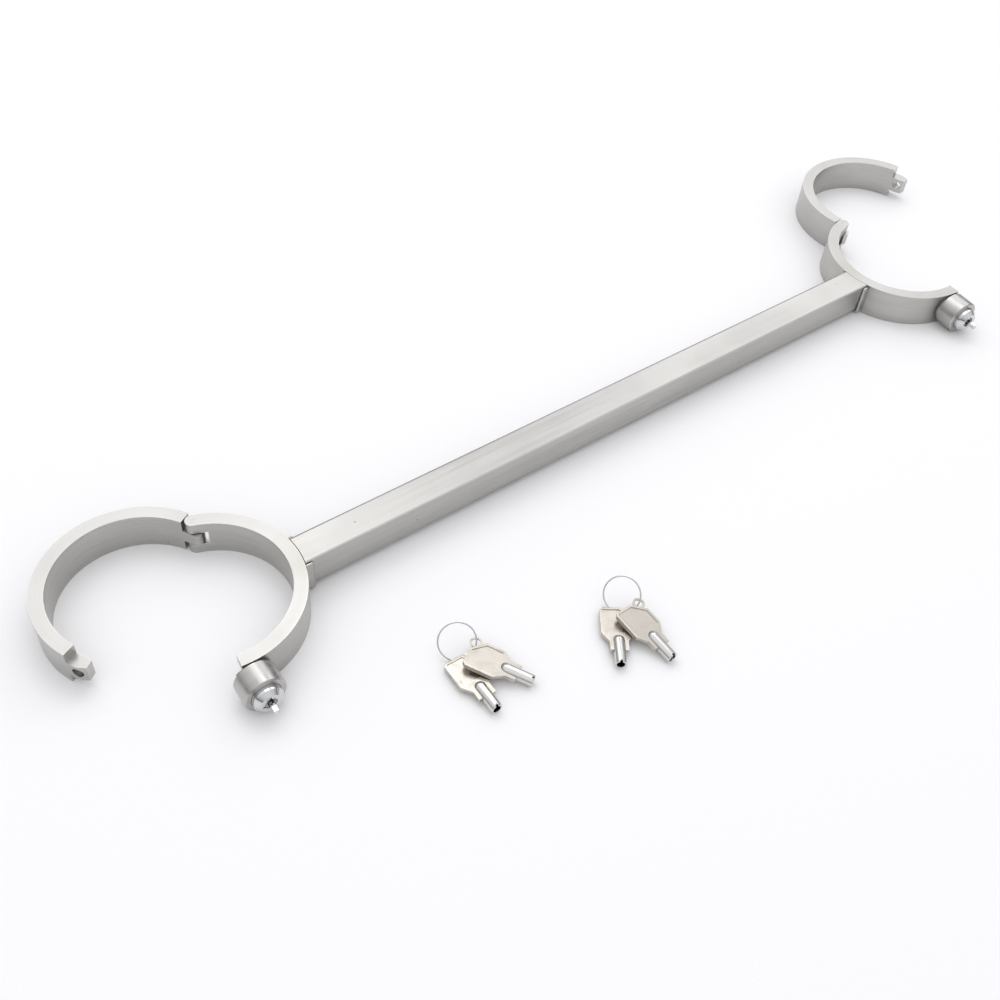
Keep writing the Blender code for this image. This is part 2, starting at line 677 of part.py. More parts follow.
def pin_block(name, lock):
    """The fixed block behind the plug: each bore holds a driver pin and its spring."""
    block = rod(name + "_pin_block", PLUG_RADIUS, BLOCK_REAR, BLOCK_FRONT, PARTS)
    tumbler_bores(block, name + "_block_bore", lock, BLOCK_REAR + FACE_GAP, BLOCK_FRONT + CUTTER_OVERRUN,
                  TUMBLER_PIN_RADIUS + RUNNING_FIT)
    finish(block, lock, brass(name + "_pin_block"), smooth=False)


def tumblers(name, lock):
    gap = SLIDE_FIT / 3
    for number, (x, y) in tumbler_places():
        key_pin = rod(name + "_key_pin_%d" % number, TUMBLER_PIN_RADIUS, PLUG_FRONT - PLUG_THICKNESS,
                      PLUG_FRONT - gap, PARTS, TINY_STEPS)
        key_pin.location = (x, y, 0.0)
        finish(key_pin, lock, plain_steel(key_pin.name), smooth=False)
        top = BLOCK_FRONT - gap
        driver = rod(name + "_driver_pin_%d" % number, TUMBLER_PIN_RADIUS, top - DRIVER_PIN_LENGTH,
                     top, PARTS, TINY_STEPS)
        driver.location = (x, y, 0.0)
        finish(driver, lock, plain_steel(driver.name), smooth=False)
        radius = TUMBLER_PIN_RADIUS - TUMBLER_SPRING_WIRE
        spring = coil(name + "_pin_spring_%d" % number, radius, TUMBLER_SPRING_WIRE,
                      BLOCK_REAR + FACE_GAP + gap, top - DRIVER_PIN_LENGTH - gap,
                      TUMBLER_SPRING_TURNS, TUMBLER_COIL_STEPS, 0, PARTS)
        spring.location = (x, y, 0.0)
        finish(spring, lock, spring_steel(spring.name))


def lock(name, side, frame):
    angle = math.radians(LOCK_AXIS_ANGLE)
    place = (side * CUFF_OUTER_RADIUS * math.cos(angle), CUFF_OUTER_RADIUS * math.sin(angle), MID_HEIGHT)
    axis = empty(name + "_lock_axis", frame, place)
    axis.rotation_mode = "QUATERNION"
    axis.rotation_quaternion = radial_rotation(side, LOCK_AXIS_ANGLE)
    lock_housing(name, axis, -side)
    stop_pin(name, axis)
    lock_barrel(name, axis)
    lock_bolt(name, axis)
    lock_spring(name, axis)
    lock_plug(name, axis)
    pin_block(name, axis)
    tumblers(name, axis)


def cuff(name, side):
    frame = empty(name + "_frame", None, (-side * CUFF_SPACING / 2, 0.0, 0.0))
    frame.rotation_euler = (0.0, 0.0, side * math.radians(CUFF_TURN[name]))
    hinge = empty(name + "_hinge_axis", frame, (side * pin_place()[0], pin_place()[1], 0.0))
    hinge.rotation_euler = (0.0, 0.0, -side * math.radians(OPEN_ANGLE[name]))
    fixed_half(name, side, frame)
    swing_half(name, side, hinge)
    hinge_pin(name, side, frame)
    bar_weld(name, side)
    lock(name, side, frame)


# Keys

def lug_centre():
    """The lug's centre, off the middle of the plate's large corner. The plate's back end is at X = 0."""
    middle = BOW_LUG_CORNER / 2
    reach = LUG_REACH * math.sqrt(0.5)
    return (middle - reach, BOW_WIDTH / 2 - middle + reach)


def from_lug(points):
    """Moves plate points so that the lug's centre is the origin."""
    x, y = lug_centre()
    return [(place[0] - x, place[1] - y) for place in points]


def bow_outline():
    """The plate: one large corner at the lug, a taper, and a neck on both sides of the tube."""
    half = BOW_WIDTH / 2
    neck = BOW_NECK_WIDTH / 2
    waist = BOW_STRAIGHT + BOW_TAPER
    tip = waist + BOW_NECK_LENGTH
    return from_lug([
        (0.0, BOW_CORNER - half), (BOW_CORNER, -half), (BOW_STRAIGHT, -half), (waist, -neck),
        (tip, -neck), (tip, neck), (waist, neck), (BOW_STRAIGHT, half),
        (BOW_LUG_CORNER, half), (0.0, half - BOW_LUG_CORNER),
    ])


def panel_outline():
    """The sunk panel, a rim's width inside the plate and short of the tube's seat."""
    half = BOW_WIDTH / 2 - BOW_RIM
    end = BOW_SEAT - BOW_RIM
    corner = BOW_LUG_CORNER - BOW_RIM * (2 - math.sqrt(2))
    return from_lug([
        (BOW_RIM, -half), (end, -half), (end, half), (BOW_RIM + corner, half), (BOW_RIM, half - corner),
    ])


def domed_profile(radius, end):
    """The outside of a shaft from its open end back to a domed root at height 0."""
    points = [(radius, end)]
    for index in range(DOME_STEPS + 1):
        turn = math.pi / 2 * index / DOME_STEPS
        points.append((radius * math.cos(turn), radius - radius * math.sin(turn)))
    return points


def lay_along_key(obj, gap):
    """Lays a Z shaft along the key, with its domed root in the plate's seat."""
    x, y = lug_centre()
    obj.rotation_euler = (0.0, math.pi / 2, 0.0)
    obj.location = (BOW_SEAT + gap - x, -y, 0.0)


def key_bow(name, place):
    bow = prism(name + "_bow", bow_outline(), -BOW_THICKNESS / 2, BOW_THICKNESS / 2, PARTS)
    round_edges(bow, BOW_EDGE_ROUND)
    for label, level in (("top", 1), ("bottom", -1)):
        sunk = level * (BOW_THICKNESS / 2 - BOW_RECESS)
        clear = level * (BOW_THICKNESS / 2 + BOW_RECESS)
        panel = prism(name + "_panel_" + label, panel_outline(), min(sunk, clear), max(sunk, clear), CUTTERS)
        combine(bow, helper(panel, place), "DIFFERENCE", "Panel " + label)
    lug = rod(name + "_lug", LUG_RADIUS, -LUG_THICKNESS / 2, LUG_THICKNESS / 2, CUTTERS)
    combine(bow, helper(lug, place), "UNION", "Lug")
    hole = rod(name + "_lug_hole", LUG_HOLE_RADIUS, -BOW_THICKNESS, BOW_THICKNESS, CUTTERS)
    combine(bow, helper(hole, place), "DIFFERENCE", "Lug hole")
    profile = [(0.0, KEY_TUBE_LENGTH)] + domed_profile(KEY_TUBE_RADIUS + RUNNING_FIT, KEY_TUBE_LENGTH)
    seat = turned(name + "_seat", profile, CUTTERS, SMALL_STEPS)
    lay_along_key(seat, 0.0)
    combine(bow, helper(seat, place), "DIFFERENCE", "Seat")
    finish(bow, place, nickel_bow(name + "_bow"), smooth=False)


def key_tube(name, place):
    inner = KEY_TUBE_RADIUS - KEY_TUBE_WALL
    end = KEY_TUBE_LENGTH
    dome = domed_profile(KEY_TUBE_RADIUS, end - KEY_TUBE_LIP)
    profile = [
        (0.0, end - KEY_TUBE_BORE_DEPTH), (inner, end - KEY_TUBE_BORE_DEPTH), (inner, end),
        (KEY_TUBE_RADIUS - KEY_TUBE_LIP, end),
    ] + dome
    tube = turned(name + "_tube", profile, PARTS, SMALL_STEPS)
    lay_along_key(tube, 2 * RUNNING_FIT)
    notch = box(name + "_tube_notch", (KEYWAY_DEPTH, NOTCH_WIDTH, 3 * KEY_TUBE_WALL),
                (0.0, 0.0, 0.0), CUTTERS)
    x, y = lug_centre()
    notch.location = (BOW_SEAT + 2 * RUNNING_FIT + end - x, -y, KEY_TUBE_RADIUS)
    combine(tube, helper(notch, place), "DIFFERENCE", "Notch")
    finish(tube, place, nickel_tube(name + "_tube"), smooth=False)


def ring_axes(heading):
    """The ring's two in-plane directions: level, and rising at the tilt."""
    turn = math.radians(heading)
    tilt = math.radians(RING_TILT)
    level = Vector((math.cos(turn), math.sin(turn), 0.0))
    across = Vector((-math.sin(turn), math.cos(turn), 0.0))
    rising = across * math.cos(tilt) + Vector((0.0, 0.0, math.sin(tilt)))
    return level, rising


def ring_centre_height():
    return RING_WIRE_RADIUS + RING_LIFT + RING_RADIUS * math.sin(math.radians(RING_TILT))


def key_ring(name, centre, heading):
    bpy.ops.mesh.primitive_torus_add(major_radius=RING_RADIUS, minor_radius=RING_WIRE_RADIUS,
                                     major_segments=ARC_STEPS, minor_segments=SHORT_STEPS)
    ring = bpy.context.object
    ring.name = name
    link(ring, PARTS)
    level, rising = ring_axes(heading)
    normal = level.cross(rising)
    turned_axes = Matrix((level, rising, normal)).transposed()
    ring.rotation_euler = turned_axes.to_euler()
    ring.location = (centre[0], centre[1], ring_centre_height())
    finish(ring, None, spring_steel(name))


def key_set(name, plan):
    key_ring("ring_" + name, plan["ring_centre"], plan["ring_heading"])
    level, rising = ring_axes(plan["ring_heading"])
    for label, around, heading, slope, roll in plan["keys"]:
        turn = math.radians(around)
        offset = (level * math.cos(turn) + rising * math.sin(turn)) * RING_RADIUS
        key = "key_" + name + "_" + label
        place = empty(key + "_place", None)
        place.location = (plan["ring_centre"][0] + offset.x, plan["ring_centre"][1] + offset.y,
                          ring_centre_height() + offset.z)
        place.rotation_mode = "XYZ"
        place.rotation_euler = (math.radians(roll), math.radians(-slope), math.radians(heading))
        key_bow(key, place)
        key_tube(key, place)


def centre_on_floor():
    """Moves everything together so that the origin is the bottom centre of the whole set."""
    bpy.context.view_layer.update()
    graph = bpy.context.evaluated_depsgraph_get()
    corners = []
    for obj in PARTS.objects:
        if obj.type == "MESH":
            shape = obj.evaluated_get(graph)
            corners += [shape.matrix_world @ vertex.co for vertex in shape.data.vertices]
    low = [min(corner[axis] for corner in corners) for axis in range(3)]
    high = [max(corner[axis] for corner in corners) for axis in range(3)]
    shift = Vector((-(low[0] + high[0]) / 2, -(low[1] + high[1]) / 2, 0.0))
    for obj in bpy.data.objects:
        if obj.parent is None:
            obj.location += shift


clear_scene()
PARTS = new_collection("bar_handcuffs")
CUTTERS = new_collection("bar_handcuffs_cutters", hidden=True)
SIDES = (("left", 1), ("right", -1))
bar()
for side_name, side_sign in SIDES:
    cuff(side_name, side_sign)
for set_name, set_plan in KEY_SETS.items():
    key_set(set_name, set_plan)
centre_on_floor()
bpy.context.view_layer.update()
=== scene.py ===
"""The finished look of the rigid bar handcuffs: brushed steel, chrome locks, nickel keys, split
key rings, a pale floor, soft studio light and the camera. Metres, in the frame of the CAD model."""

import json
import math

import bpy
import numpy as np
from mathutils import Matrix, Vector


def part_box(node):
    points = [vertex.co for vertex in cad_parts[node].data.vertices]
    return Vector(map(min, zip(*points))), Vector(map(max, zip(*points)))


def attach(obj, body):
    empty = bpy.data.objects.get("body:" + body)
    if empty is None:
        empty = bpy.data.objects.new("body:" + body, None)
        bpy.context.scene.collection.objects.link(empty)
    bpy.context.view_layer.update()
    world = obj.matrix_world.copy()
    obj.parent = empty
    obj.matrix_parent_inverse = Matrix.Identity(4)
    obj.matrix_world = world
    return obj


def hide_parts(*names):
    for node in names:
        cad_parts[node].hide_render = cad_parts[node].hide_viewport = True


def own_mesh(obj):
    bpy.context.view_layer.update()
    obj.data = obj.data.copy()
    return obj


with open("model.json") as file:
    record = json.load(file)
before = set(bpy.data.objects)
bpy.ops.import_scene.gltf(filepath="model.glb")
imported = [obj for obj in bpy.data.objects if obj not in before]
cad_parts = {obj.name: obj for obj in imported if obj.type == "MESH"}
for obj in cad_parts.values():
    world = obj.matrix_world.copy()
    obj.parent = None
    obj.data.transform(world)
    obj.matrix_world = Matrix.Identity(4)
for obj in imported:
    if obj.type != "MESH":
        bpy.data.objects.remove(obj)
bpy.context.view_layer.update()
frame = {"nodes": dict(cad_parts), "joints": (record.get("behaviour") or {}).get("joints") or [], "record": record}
NODES = frame["nodes"]
JOINTS = {joint["name"]: joint for joint in frame["joints"]}
SLOTS = {part["node"]: part["material_slot"] for part in frame["record"]["subparts"]}
SIDES = {"left": 1, "right": -1}

FULL_OPENING = 100.0
LOCK_POINT_REACH = 0.05
BAND_RADIUS = 0.038
SHARP_ANGLE = 34.0
TURNED_SHARP_ANGLE = 20.0
RING_SHARP_ANGLE = 50.0
RING_TURNS = 1.94
RING_STEPS = 150
RING_CRANK = 0.14
RING_WIDE = 0.88
RING_THIN = 0.46
HINGE_PIN_RADIUS = 0.00125
HOUSING_RADIUS = 0.009
HOUSING_WELD_RADIUS = 0.008
LOCK_RADIUS = 0.005
BAR_GRAIN = (30.0, 2300.0)
BAND_GRAIN = (55.0, 2300.0)
LATHE_GRAIN = (90.0, 2600.0)
LOCK_GRAIN = (150.0, 4200.0)
DRAWN_GRAIN = (120.0, 3200.0)
BAR_HEAT_REACH = 0.011
HOUSING_HEAT_REACH = 0.012
HOUSING_HEAT_INSET = 0.006
FLOOR_REACH = 4.0
FLOOR_DROP = 0.00005

# Height of each sky stop, as the upward part of the view direction, and its colour.
SKY_HORIZON = (0.02, (0.16, 0.16, 0.165, 1.0))
SKY_MIDDLE = (0.38, (0.66, 0.66, 0.67, 1.0))
SKY_TOP = (0.85, (0.98, 0.98, 1.0, 1.0))
SKY_STRENGTH = 1.1
# Name, place, aim, side and power of each soft lamp.
SOFTBOXES = (
    ("softbox_near", (0.05, 1.05, 1.35), (-0.2, 0.0, 0.0), 0.9, 2.4),
    ("softbox_far", (1.75, 1.05, 1.45), (0.2, 0.0, 0.0), 1.0, 3.4),
    ("softbox_top", (0.35, 0.45, 1.5), (0.0, 0.0, 0.0), 0.8, 2.2),
)

CAMERA_FROM_CUFF = (-0.0946, -0.2861, 0.0)
CAMERA_HEIGHT = 0.3985
CAMERA_AZIMUTH = -40.64
CAMERA_ELEVATION = 48.02
CAMERA_ROLL = 5.54
CAMERA_LENS = 41.89
SENSOR_WIDTH = 36.0

STEEL = (0.50, 0.492, 0.475)
CHROME = (0.66, 0.665, 0.675)
NICKEL_BOW = (0.56, 0.525, 0.475)
NICKEL_TUBE = (0.66, 0.65, 0.63)
WIRE = (0.62, 0.62, 0.63)
TURNED = (0.62, 0.62, 0.63)
BRASS = (0.78, 0.58, 0.28)
PAPER_DARK = (0.925, 0.925, 0.93)
PAPER_LIGHT = (0.935, 0.935, 0.94)
UP = Vector((0.0, 0.0, 1.0))


# Smooth shading that keeps flat faces flat and real edges sharp

def shade(obj, sharp=SHARP_ANGLE):
    """Corner normals averaged, by area, over the faces that meet there within the sharp angle."""
    mesh = obj.data
    mesh.calc_loop_triangles()
    count = len(mesh.vertices)
    points = np.empty(count * 3)
    mesh.vertices.foreach_get("co", points)
    points = points.reshape(-1, 3)
    _, place = np.unique(np.round(points, 6), axis=0, return_inverse=True)
    place = place.reshape(-1)
    corners = []
    for face in mesh.polygons:
        weighted = np.array(face.normal) * face.area
        for loop in face.loop_indices:
            corners.append((place[mesh.loops[loop].vertex_index], loop, weighted, np.array(face.normal)))
    around = {}
    for spot, loop, weighted, normal in corners:
        around.setdefault(spot, []).append((loop, weighted, normal))
    least = math.cos(math.radians(sharp))
    normals = np.zeros((len(mesh.loops), 3))
    for group in around.values():
        weights = np.array([entry[1] for entry in group])
        facing = np.array([entry[2] for entry in group])
        near = (facing @ facing.T) > least
        total = near.astype(float) @ weights
        length = np.linalg.norm(total, axis=1, keepdims=True)
        total = np.where(length > 0, total / np.maximum(length, 1e-30), facing)
        for (loop, _, _), normal in zip(group, total):
            normals[loop] = normal
    for face in mesh.polygons:
        face.use_smooth = True
    mesh.normals_split_custom_set(normals.tolist())


# Materials

class Finish:
    """A Principled material, with short ways to add and join its nodes."""

    def __init__(self, name, metallic=1.0):
        self.material = bpy.data.materials.new(name)
        self.material.use_nodes = True
        self.tree = self.material.node_tree
        self.shader = self.tree.nodes["Principled BSDF"]
        self.shader.inputs["Metallic"].default_value = metallic
        self.position = self.add("ShaderNodeTexCoord").outputs["Object"]

    def add(self, kind, **settings):
        node = self.tree.nodes.new(kind)
        for setting, value in settings.items():
            setattr(node, setting, value)
        return node

    def put(self, socket, value):
        if isinstance(value, bpy.types.NodeSocket):
            self.tree.links.new(value, socket)
        else:
            socket.default_value = value

    def math(self, operation, first, second=0.0, clamp=False):
        node = self.add("ShaderNodeMath", operation=operation, use_clamp=clamp)
        self.put(node.inputs[0], first)
        self.put(node.inputs[1], second)
        return node.outputs[0]

    def vector(self, operation, first, second=(0.0, 0.0, 0.0)):
        node = self.add("ShaderNodeVectorMath", operation=operation)
        self.put(node.inputs[0], first)
        self.put(node.inputs[1], second)
        scalar = operation in ("DOT_PRODUCT", "LENGTH", "DISTANCE")
        return node.outputs["Value" if scalar else "Vector"]

    def join(self, x, y, z):
        node = self.add("ShaderNodeCombineXYZ")
        for socket, value in zip(node.inputs, (x, y, z)):
            self.put(socket, value)
        return node.outputs[0]

    def spread(self, value, low, high, out_low=0.0, out_high=1.0):
        """Maps low..high to out_low..out_high smoothly and holds it beyond them."""
        node = self.add("ShaderNodeMapRange", interpolation_type="SMOOTHSTEP")
        for socket, number in zip(node.inputs[:5], (value, low, high, out_low, out_high)):
            self.put(socket, number)
        return node.outputs[0]

    def noise(self, place, scale=1.0, detail=2.0):
        node = self.add("ShaderNodeTexNoise")
        self.put(node.inputs["Vector"], place)
        node.inputs["Scale"].default_value = scale
        node.inputs["Detail"].default_value = detail
        return node.outputs[0]

    def mix(self, share, first, second):
        node = self.add("ShaderNodeMix", data_type="RGBA")
        self.put(node.inputs[0], share)
        for socket, value in ((node.inputs[6], first), (node.inputs[7], second)):
            self.put(socket, value if isinstance(value, bpy.types.NodeSocket) else (*value, 1.0))
        return node.outputs[2]

    def straight(self, along, across):
        """Grain along X."""
        return self.vector("MULTIPLY", self.position, (along, across, across))

    def around(self, centre, axis, zero, radius, along, across):
        """Grain round an axis; zero points at the middle of the piece, so the seam is opposite."""
        side = Vector(axis).cross(Vector(zero)).normalized()
        away = self.vector("SUBTRACT", self.position, tuple(centre))
        first = self.vector("DOT_PRODUCT", away, tuple(zero))
        second = self.vector("DOT_PRODUCT", away, tuple(side))
        height = self.vector("DOT_PRODUCT", away, tuple(axis))
        angle = self.math("ARCTAN2", second, first)
        reach = self.vector("LENGTH", self.join(first, second, 0.0))
        length = self.math("MULTIPLY", angle, radius * along)
        return self.join(length, self.math("MULTIPLY", reach, across), self.math("MULTIPLY", height, across))

    def edges(self, radius):
        """1 at edges, 0 on open faces."""
        rounded = self.add("ShaderNodeBevel", samples=4)
        rounded.inputs["Radius"].default_value = radius
        plain = self.add("ShaderNodeNewGeometry").outputs["Normal"]
        likeness = self.vector("DOT_PRODUCT", rounded.outputs[0], plain)
        return self.spread(likeness, 0.99, 0.90)

    def surface(self, colour, roughness, height=None, depth=0.00002, strength=0.4):
        self.put(self.shader.inputs["Base Color"], colour)
        self.put(self.shader.inputs["Roughness"], roughness)
        if height is not None:
            bump = self.add("ShaderNodeBump")
            bump.inputs["Strength"].default_value = strength
            bump.inputs["Distance"].default_value = depth
            self.put(bump.inputs["Height"], height)
            self.put(self.shader.inputs["Normal"], bump.outputs[0])
        return self.material


def shifted(colour, factor):
    return tuple(channel * factor for channel in colour)


def brushed(name, grain, colour=STEEL, roughness=0.30, heat=()):
    """Satin steel: fine grain, longer streaks, handling marks, sparse pits, polished edges that are
    smoother and lightened by a painted highlight, and a faint heat tint round the welds."""
    finish = Finish(name)
    lines = grain(finish)
    fine = finish.noise(lines, 1.0, 3.0)
    streak = finish.noise(finish.vector("MULTIPLY", lines, (0.35, 0.16, 0.16)), 1.0, 4.0)
    scratch = finish.spread(finish.noise(finish.vector("ADD", lines, (7.0, 3.0, 5.0)), 0.55, 1.0), 0.70, 0.78)
    cloud = finish.noise(finish.position, 42.0, 4.0)
    smudge = finish.spread(finish.noise(finish.position, 17.0, 3.0), 0.42, 0.68)
    pits = finish.add("ShaderNodeTexVoronoi")
    pits.inputs["Scale"].default_value = 190.0
    finish.put(pits.inputs["Vector"], finish.position)
    sparse = finish.spread(finish.noise(finish.position, 150.0, 0.0), 0.69, 0.72)
    pit = finish.math("MULTIPLY", finish.spread(pits.outputs["Distance"], 0.075, 0.045), sparse)
    edge = finish.edges(0.0006)
    tone = finish.mix(finish.spread(streak, 0.30, 0.70), shifted(colour, 0.93), shifted(colour, 1.05))
    tone = finish.mix(finish.spread(cloud, 0.35, 0.75, 0.0, 0.5), tone, shifted(colour, 0.90))
    tone = finish.mix(finish.math("MULTIPLY", scratch, 0.35), tone, shifted(colour, 0.78))
    # Painted highlight: the edges are lightened in colour as if catching the light; the lower roughness further
    # down is the real polish.
    tone = finish.mix(finish.math("MULTIPLY", edge, 0.7), tone, shifted(colour, 1.22))
    for spot, reach in heat:
        gap = finish.vector("DISTANCE", finish.position, spot)
        near = finish.spread(gap, reach, reach * 0.35)
        patchy = finish.math("MULTIPLY", near, finish.spread(cloud, 0.30, 0.62, 0.10, 0.40))
        tone = finish.mix(patchy, tone, (colour[0] * 0.90, colour[1] * 0.88, colour[2] * 0.82))
    tone = finish.mix(pit, tone, shifted(colour, 0.12))
    rough = finish.spread(streak, 0.25, 0.75, roughness - 0.05, roughness + 0.06)
    rough = finish.math("ADD", rough, finish.math("MULTIPLY", smudge, 0.07))
    rough = finish.math("ADD", rough, finish.math("MULTIPLY", scratch, 0.10))
    rough = finish.math("SUBTRACT", rough, finish.math("MULTIPLY", edge, 0.10), clamp=True)
    height = finish.math("ADD", fine, finish.math("MULTIPLY", streak, 0.6))
    height = finish.math("SUBTRACT", height, finish.math("MULTIPLY", pit, 4.0))
    return finish.surface(tone, rough, height)


def polished(name, colour, roughness, grain, painted_edge_highlight=0.5):
    """Bright plate: faint polishing lines, fingerprints, and dulled edges that are rougher and lightened by a
    painted highlight.
    """
    finish = Finish(name)
    lines = finish.noise(grain(finish), 1.0, 3.0)
    haze = finish.spread(finish.noise(finish.position, 210.0, 4.0), 0.40, 0.72)
    edge = finish.edges(0.00025)
    tone = finish.mix(finish.math("MULTIPLY", haze, 0.5), colour, shifted(colour, 0.90))
    # Painted highlight: the edges are lightened in colour as if catching the light; the rougher edges below are
    # the real dulling.
    tone = finish.mix(finish.math("MULTIPLY", edge, painted_edge_highlight), tone, shifted(colour, 1.12))
    rough = finish.spread(lines, 0.3, 0.7, roughness * 0.7, roughness * 1.35)
    rough = finish.math("ADD", rough, finish.math("MULTIPLY", haze, 0.05))
    rough = finish.math("ADD", rough, finish.math("MULTIPLY", edge, 0.06), clamp=True)
    return finish.surface(tone, rough, lines, depth=0.000006, strength=0.25)


def cast_nickel(name, grain):
    """Plated die casting: soft orange-peel, warm, with rubbed rims that are smoother and lightened by a painted
    highlight, and grime in the panels.
    """
    finish = Finish(name)
    peel = finish.noise(finish.position, 1500.0, 3.0)
    lines = finish.noise(grain(finish), 1.0, 2.0)
    grime = finish.spread(finish.noise(finish.position, 260.0, 4.0), 0.44, 0.70)
    edge = finish.edges(0.0004)
    tone = finish.mix(finish.math("MULTIPLY", grime, 0.6), NICKEL_BOW, shifted(NICKEL_BOW, 0.84))
    # Painted highlight: the rims are lightened in colour as if catching the light; the lower roughness below is
    # the real rubbing.
    tone = finish.mix(finish.math("MULTIPLY", edge, 0.8), tone, shifted(NICKEL_BOW, 1.18))
    rough = finish.spread(lines, 0.3, 0.7, 0.22, 0.33)
    rough = finish.math("ADD", rough, finish.math("MULTIPLY", grime, 0.08))
    rough = finish.math("SUBTRACT", rough, finish.math("MULTIPLY", edge, 0.10), clamp=True)
    return finish.surface(tone, rough, peel, depth=0.00001, strength=0.35)


# Where things are

def lock_axis(side):
    """The cuff's centre and the outward direction of its lock."""
    joint = JOINTS[side + "_lock_turn"]
    outward = Vector(joint["axis"]).normalized()
    return Vector(joint["pos_m"]) - outward * LOCK_POINT_REACH, outward


def pin(side):
    return Vector(JOINTS[side + "_cuff_hinge"]["pos_m"])


def swing_centre(side):
    """The centre of the swing half's circle as it lies at rest."""
    centre, _ = lock_axis(side)
    opened = FULL_OPENING - JOINTS[side + "_cuff_hinge"]["range_deg"][1]
    turn = Matrix.Rotation(-SIDES[side] * math.radians(opened), 3, "Z")
    return pin(side) + turn @ (centre - pin(side))


def middle_of(node):
    low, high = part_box(node)
    return (low + high) / 2


def paint(node, material):
    obj = NODES[node]
    if not obj.data.materials:
        obj.data.materials.append(material)
    for index in range(len(obj.data.materials)):
        obj.data.materials[index] = material


def ring_grain(centre, node):
    """Grain round a cuff half, with the seam on the half's open side."""
    zero = middle_of(node) - centre
    zero.z = 0.0
    zero.normalize()
    return lambda finish: finish.around(centre, UP, zero, BAND_RADIUS, *BAND_GRAIN)


def lathe_grain(centre, axis, radius, grain=LATHE_GRAIN):
    return lambda finish: finish.around(centre, axis, UP, radius, *grain)


def axis_grain(direction):
    """Lines that run along a direction, for a drawn tube or wire."""
    length = Vector(direction).normalized()
    side = length.cross(UP).normalized()
    over = side.cross(length)

    along, across = DRAWN_GRAIN

    def grain(finish):
        return finish.join(*(
            finish.math("MULTIPLY", finish.vector("DOT_PRODUCT", finish.position, tuple(way)), density)
            for way, density in ((length, along), (side, across), (over, across))))
    return grain


def key_heading(key):
    """The direction from a key's bow to the tip of its tube."""
    heading = middle_of(key + "_tube") - middle_of(key + "_bow")
    return heading.normalized()


def dress_frame():
    heat = []
    for side, sign in SIDES.items():
        centre, outward = lock_axis(side)
        bar_low, bar_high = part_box("bar")
        end = bar_low.x if sign > 0 else bar_high.x
        for edge in (bar_low.y, bar_high.y):
            heat.append(((end, edge, bar_high.z), BAR_HEAT_REACH))
        housing = middle_of(side + "_lock_housing")
        heat.append((tuple(housing - outward * HOUSING_HEAT_INSET), HOUSING_HEAT_REACH))
    bar_heat = [spot for spot in heat if spot[1] == BAR_HEAT_REACH]
    straight = brushed("steel_bar", lambda finish: finish.straight(*BAR_GRAIN), roughness=0.30, heat=bar_heat)
    paint("bar", straight)
    for side in SIDES:
        centre, outward = lock_axis(side)
        fixed = side + "_fixed_half"
        swing = side + "_swing_half"
        paint(fixed, brushed("steel_" + fixed, ring_grain(centre, fixed), heat=heat))
        paint(swing, brushed("steel_" + swing, ring_grain(swing_centre(side), swing)))
        housing_grain = lathe_grain(centre, outward, HOUSING_RADIUS)
        weld_grain = lathe_grain(centre, outward, HOUSING_WELD_RADIUS)
        pin_grain = lathe_grain(pin(side), UP, HINGE_PIN_RADIUS)
        paint(side + "_lock_housing", brushed("steel_" + side + "_housing", housing_grain, roughness=0.27))
        paint(side + "_housing_weld", brushed("steel_" + side + "_housing_weld", weld_grain,
                                              colour=shifted(STEEL, 0.85), roughness=0.36, heat=heat))
        paint(side + "_bar_weld", brushed("steel_" + side + "_bar_weld", ring_grain(centre, fixed),
                                          roughness=0.30, heat=heat))
        paint(side + "_hinge_pin", brushed("steel_" + side + "_hinge_pin", pin_grain,
                                           colour=shifted(STEEL, 0.94)))


def dress_locks():
    for side in SIDES:
        centre, outward = lock_axis(side)
        turned = lathe_grain(centre, outward, LOCK_RADIUS, LOCK_GRAIN)
        chrome = polished("chrome_" + side, CHROME, 0.07, turned)
        steel = polished("turned_steel_" + side, TURNED, 0.22, turned, painted_edge_highlight=0.3)
        wire = polished("spring_wire_" + side, shifted(WIRE, 0.8), 0.25, turned, painted_edge_highlight=0.2)
        brass = polished("brass_" + side, BRASS, 0.24, turned, painted_edge_highlight=0.3)
        choice = {"chrome_plate": chrome, "turned_steel": steel, "steel_wire": wire, "brass": brass}
        for node in NODES:
            if node.startswith(side) and SLOTS[node] in choice:
                paint(node, choice[SLOTS[node]])


def dress_keys():
    for node in NODES:
        if node.startswith("key_") and node.endswith("_tube"):
            along = axis_grain(key_heading(node.removesuffix("_tube")))
            paint(node, polished("nickel_" + node, NICKEL_TUBE, 0.11, along, painted_edge_highlight=0.6))
        elif node.startswith("key_") and node.endswith("_bow"):
            paint(node, cast_nickel("nickel_" + node, axis_grain(key_heading(node.removesuffix("_bow")))))


# Pieces shaped here

def add_mesh(name, points, faces, material):
    mesh = bpy.data.meshes.new(name)
    mesh.from_pydata(points, [], faces)
    mesh.update()
    mesh.materials.append(material)
    obj = bpy.data.objects.new(name, mesh)
    bpy.context.scene.collection.objects.link(obj)
    return obj


def sweep(path, half_width, half_height, across, steps=10):
    """A closed wire of oval section along a path; across gives the wide direction at each point."""
    points = []
    faces = []
    last = len(path) - 1
    for index, place in enumerate(path):
        ahead = (path[min(index + 1, last)] - path[max(index - 1, 0)]).normalized()
        wide = across[index]
        thin = ahead.cross(wide).normalized()
        for step in range(steps):
            turn = 2 * math.pi * step / steps
            points.append(place + wide * (half_width * math.cos(turn)) + thin * (half_height * math.sin(turn)))
    for index in range(last):
        for step in range(steps):
            after = (step + 1) % steps
            row = index * steps
            faces.append((row + step, row + after, row + steps + after, row + steps + step))
    faces.append(tuple(reversed(range(steps))))
    faces.append(tuple(range(last * steps, last * steps + steps)))
    return points, faces


